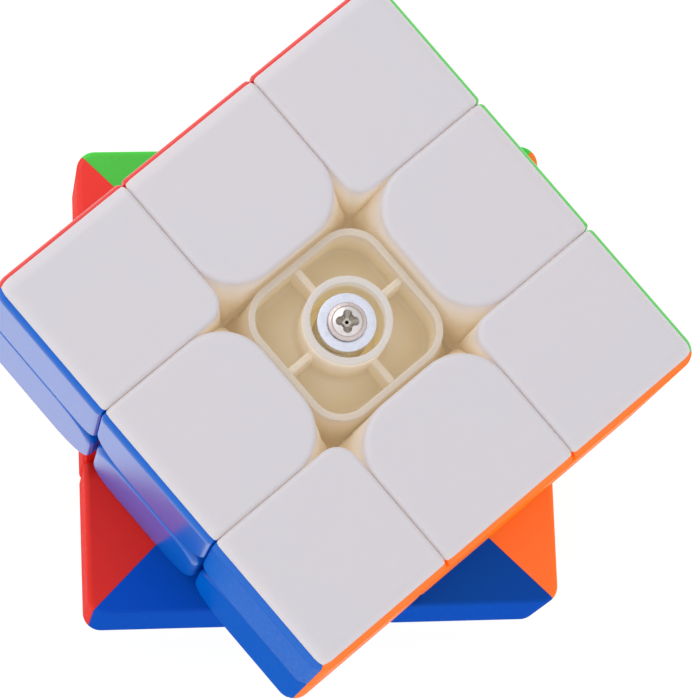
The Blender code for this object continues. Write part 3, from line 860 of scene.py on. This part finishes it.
def screw_shade_and_flange(m):
    """Painted shade in the cross recess, near black deep in the pilot cone, a darker ring at the shoulder, and a
    duller flange round the dome.
    """
    nt = m.node_tree
    L = nt.links.new
    b = nt.nodes["Principled BSDF"]
    plain = b.inputs["Base Color"].links[0].from_socket
    tc = nt.nodes.new("ShaderNodeTexCoord")
    sep = nt.nodes.new("ShaderNodeSeparateXYZ")
    L(tc.outputs["Object"], sep.inputs["Vector"])
    flat = nt.nodes.new("ShaderNodeCombineXYZ")
    L(sep.outputs["X"], flat.inputs["X"])
    L(sep.outputs["Y"], flat.inputs["Y"])
    dot = nt.nodes.new("ShaderNodeVectorMath")
    dot.operation = 'DOT_PRODUCT'
    L(flat.outputs["Vector"], dot.inputs[0])
    L(flat.outputs["Vector"], dot.inputs[1])
    # height above the domed surface: z + r^2 / (2 R)
    lift = nt.nodes.new("ShaderNodeMath")
    lift.operation = 'MULTIPLY_ADD'
    lift.inputs[1].default_value = 1 / (10.4 * MM)
    L(dot.outputs["Value"], lift.inputs[0])
    L(sep.outputs["Z"], lift.inputs[2])
    # painted shade: the base colour darkens below the domed surface, in the recess and at the shoulder, and turns
    # near black deep in the pilot cone
    deep = nt.nodes.new("ShaderNodeValToRGB")
    place = nt.nodes.new("ShaderNodeMapRange")
    place.inputs["From Min"].default_value = (HEAD_TOP - 0.03) * MM
    place.inputs["From Max"].default_value = (HEAD_TOP - 1.4) * MM
    L(lift.outputs["Value"], place.inputs["Value"])
    els = deep.color_ramp.elements
    while len(els) < 4:
        els.new(0.5)
    for i, (at, v) in enumerate(((0.0, (1, 1, 1)), (0.06, (0.66, 0.66, 0.6)), (0.7, (0.76, 0.75, 0.68)), (0.8, (0.03, 0.03, 0.03)))):
        els[i].position = at
    for i, (at, v) in enumerate(((0.0, (1, 1, 1)), (0.06, (0.66, 0.66, 0.6)), (0.7, (0.76, 0.75, 0.68)), (0.8, (0.03, 0.03, 0.03)))):
        els[i].color = (*v, 1)
    L(place.outputs["Result"], deep.inputs["Fac"])
    ring = nt.nodes.new("ShaderNodeMapRange")
    ring.inputs["From Min"].default_value = (1.6 * MM) ** 2
    ring.inputs["From Max"].default_value = (1.78 * MM) ** 2
    L(dot.outputs["Value"], ring.inputs["Value"])
    pick = nt.nodes.new("ShaderNodeMix")
    pick.data_type = 'RGBA'
    L(ring.outputs["Result"], pick.inputs["Factor"])
    L(deep.outputs["Color"], pick.inputs["A"])
    pick.inputs["B"].default_value = (0.84, 0.79, 0.78, 1)
    mul = nt.nodes.new("ShaderNodeMix")
    mul.data_type = 'RGBA'
    mul.blend_type = 'MULTIPLY'
    mul.inputs["Factor"].default_value = 1.0
    L(plain, mul.inputs["A"])
    L(pick.outputs["Result"], mul.inputs["B"])
    L(mul.outputs["Result"], b.inputs["Base Color"])
    return m


screw_shade_and_flange(SCREW_MAT)
SPRING_MAT = metal("spring_wire", (224, 220, 214), 0.3, 0.1)
CORE_MAT = gloss_plastic("core_nylon", (52, 54, 58), (44, 46, 50), 0.4)


# ------------------------------------------------------------------ placing pieces
def frame_from(x, y, z):
    return Matrix((x, y, z)).transposed()


BODY_OF = {n: b for b, ns in frame["record"]["behaviour"]["bodies"].items() for n in ns}
TURN = Matrix.Rotation(math.radians(BOTTOM_TURN), 3, 'Z')


def add(name, mesh, mat, rot, node_name, turned):
    ob = link(bpy.data.objects.new(name, mesh))
    if not mesh.materials:
        mesh.materials.append(None)
    ob.material_slots[0].link = 'OBJECT'
    ob.material_slots[0].material = mat
    r = TURN @ rot if turned else rot
    ob.matrix_world = r.to_4x4()
    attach(ob, BODY_OF[node_name])
    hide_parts(node_name)
    return ob


corner_me, edge_me = corner_shell(), edge_shell()
cup_me, cap_me = cup_mesh(), cap_mesh()
washer_me, screw_me, spring_me = washer_mesh(), screw_mesh(), spring_mesh()

for face, z in DIRECTION.items():
    y = Vector((0, 1, 0)) if abs(z.z) > 0.5 else Vector((0, 0, 1))
    rot = frame_from(y.cross(z), y, z)
    low = face == "yellow"
    add("cup_" + face, cup_me, CUP_MAT[face], rot, "centre_" + face,
        low)
    add("tension_screw_" + face, screw_me, SCREW_MAT, rot, "screw_" + face, False)
    add("tension_washer_" + face, washer_me, WASHER_MAT, rot, "washer_" + face, False)
    # the spring stands on the middle slice
    spring = link(bpy.data.objects.new("tension_spring_" + face, spring_me.copy()))
    spring.data.materials.clear()
    spring.data.materials.append(SPRING_MAT)
    spring.matrix_world = rot.to_4x4()
    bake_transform(spring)
    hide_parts("spring_" + face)
    if face != "white":
        add("centre_cap_" + face, cap_me, MAT[face], rot, "cap_" + face, low)

EDGES = (("white", "blue"), ("white", "orange"), ("white", "green"), ("white", "red"),
         ("blue", "orange"), ("orange", "green"), ("green", "red"), ("red", "blue"),
         ("yellow", "blue"), ("yellow", "orange"), ("yellow", "green"), ("yellow", "red"))
for a, b in EDGES:
    nm = "edge_%s_%s" % (a, b)
    for own, other in ((a, b), (b, a)):
        z, y = DIRECTION[own], -DIRECTION[other]
        add("%s_%s_half" % (nm, own), edge_me, LIT_AND_SHADED.get((nm, own), MAT[own]), frame_from(y.cross(z), y, z), nm,
            "yellow" in (a, b))

CORNERS = (("white", "blue", "orange"), ("white", "orange", "green"), ("white", "green", "red"),
           ("white", "red", "blue"), ("yellow", "orange", "blue"), ("yellow", "green", "orange"),
           ("yellow", "red", "green"), ("yellow", "blue", "red"))
for names in CORNERS:
    nm = "corner_" + "_".join(names)
    for own in names:
        d = [DIRECTION[n] for n in names if n != own] + [DIRECTION[own]]
        if Matrix((d[0], d[1], d[2])).determinant() < 0:
            d[0], d[1] = d[1], d[0]
        add("%s_%s_shell" % (nm, own), corner_me, LIT_AND_SHADED.get((nm, own), MAT[own]), frame_from(d[0], d[1], d[2]), nm,
            "yellow" in names)

core = frame["nodes"]["core"]
core.data.materials.clear()
core.data.materials.append(CORE_MAT)

# ------------------------------------------------------------------ stage, light, camera
floor_me = bpy.data.meshes.new("floor")
s = 3.0
floor_me.from_pydata([(-s, -s, 0), (s, -s, 0), (s, s, 0), (-s, s, 0)], [], [[0, 1, 2, 3]])
floor = link(bpy.data.objects.new("floor", floor_me))
floor.location = (0, 0, -HALF * MM - 0.0001)
fm, fnt, fb = new_material("floor_paper")
fb.inputs["Base Color"].default_value = (0.25, 0.25, 0.25, 1)
fb.inputs["Roughness"].default_value = 0.9
fb.inputs["Specular IOR Level"].default_value = 0.0
fb.inputs["Emission Color"].default_value = (1, 1, 1, 1)
fb.inputs["Emission Strength"].default_value = 0.86
floor_me.materials.append(fm)

world = bpy.data.worlds.new("studio")
bpy.context.scene.world = world
world.use_nodes = True
bg = world.node_tree.nodes["Background"]
bg.inputs["Color"].default_value = (0.985, 0.985, 1.0, 1)
# a studio with soft boxes on three sides and overhead, and a duller wall behind (+Y)
wn = world.node_tree
aim = wn.nodes.new("ShaderNodeTexCoord")
split = wn.nodes.new("ShaderNodeSeparateXYZ")
wn.links.new(aim.outputs["Generated"], split.inputs["Vector"])
wall = wn.nodes.new("ShaderNodeMapRange")
wall.interpolation_type = 'SMOOTHSTEP'
wall.inputs["From Min"].default_value = 0.15
wall.inputs["From Max"].default_value = 0.85
wall.inputs["To Min"].default_value = 1.02
wall.inputs["To Max"].default_value = 0.72
wn.links.new(split.outputs["Y"], wall.inputs["Value"])
low = wn.nodes.new("ShaderNodeMapRange")
low.interpolation_type = 'SMOOTHSTEP'
low.inputs["From Min"].default_value = 0.05
low.inputs["From Max"].default_value = 0.5
low.inputs["To Min"].default_value = 0.6
low.inputs["To Max"].default_value = 1.0
wn.links.new(split.outputs["Z"], low.inputs["Value"])
both = wn.nodes.new("ShaderNodeMath")
both.operation = 'MULTIPLY'
wn.links.new(wall.outputs["Result"], both.inputs[0])
wn.links.new(low.outputs["Result"], both.inputs[1])
wn.links.new(both.outputs["Value"], bg.inputs["Strength"])


def area(name, loc, target, size, power, color=(1, 1, 1)):
    li = bpy.data.lights.new(name, 'AREA')
    li.shape = 'DISK'
    li.size = size
    li.energy = power
    li.color = color
    ob = link(bpy.data.objects.new(name, li))
    ob.location = loc
    ob.rotation_euler = (Vector(target) - Vector(loc)).to_track_quat('-Z', 'Y').to_euler()
    return ob


area("key", (-0.42, 0.02, 0.5), (0, 0, 0), 0.5, 0.65, (1.0, 0.99, 0.98))

cam_data = bpy.data.cameras.new("camera")
cam = link(bpy.data.objects.new("camera", cam_data))
cam_data.sensor_width = 36.0
cam_data.lens = 196.312
cam_data.clip_start = 0.01
right = Vector((0.649846, 0.752796, 0.104875))
up = Vector((-0.756960, 0.628539, 0.178745))
back = Vector((0.068640, -0.195543, 0.978290))
rot = frame_from(right, up, back).to_quaternion().to_matrix().to_4x4()
cam.matrix_world = Matrix.Translation((0.0315350, -0.0842701, 0.4382487)) @ rot
bpy.context.scene.camera = cam

vs = bpy.context.scene.view_settings
vs.view_transform = 'Standard'
vs.look = 'None'
vs.exposure = 0.0
vs.gamma = 1.0
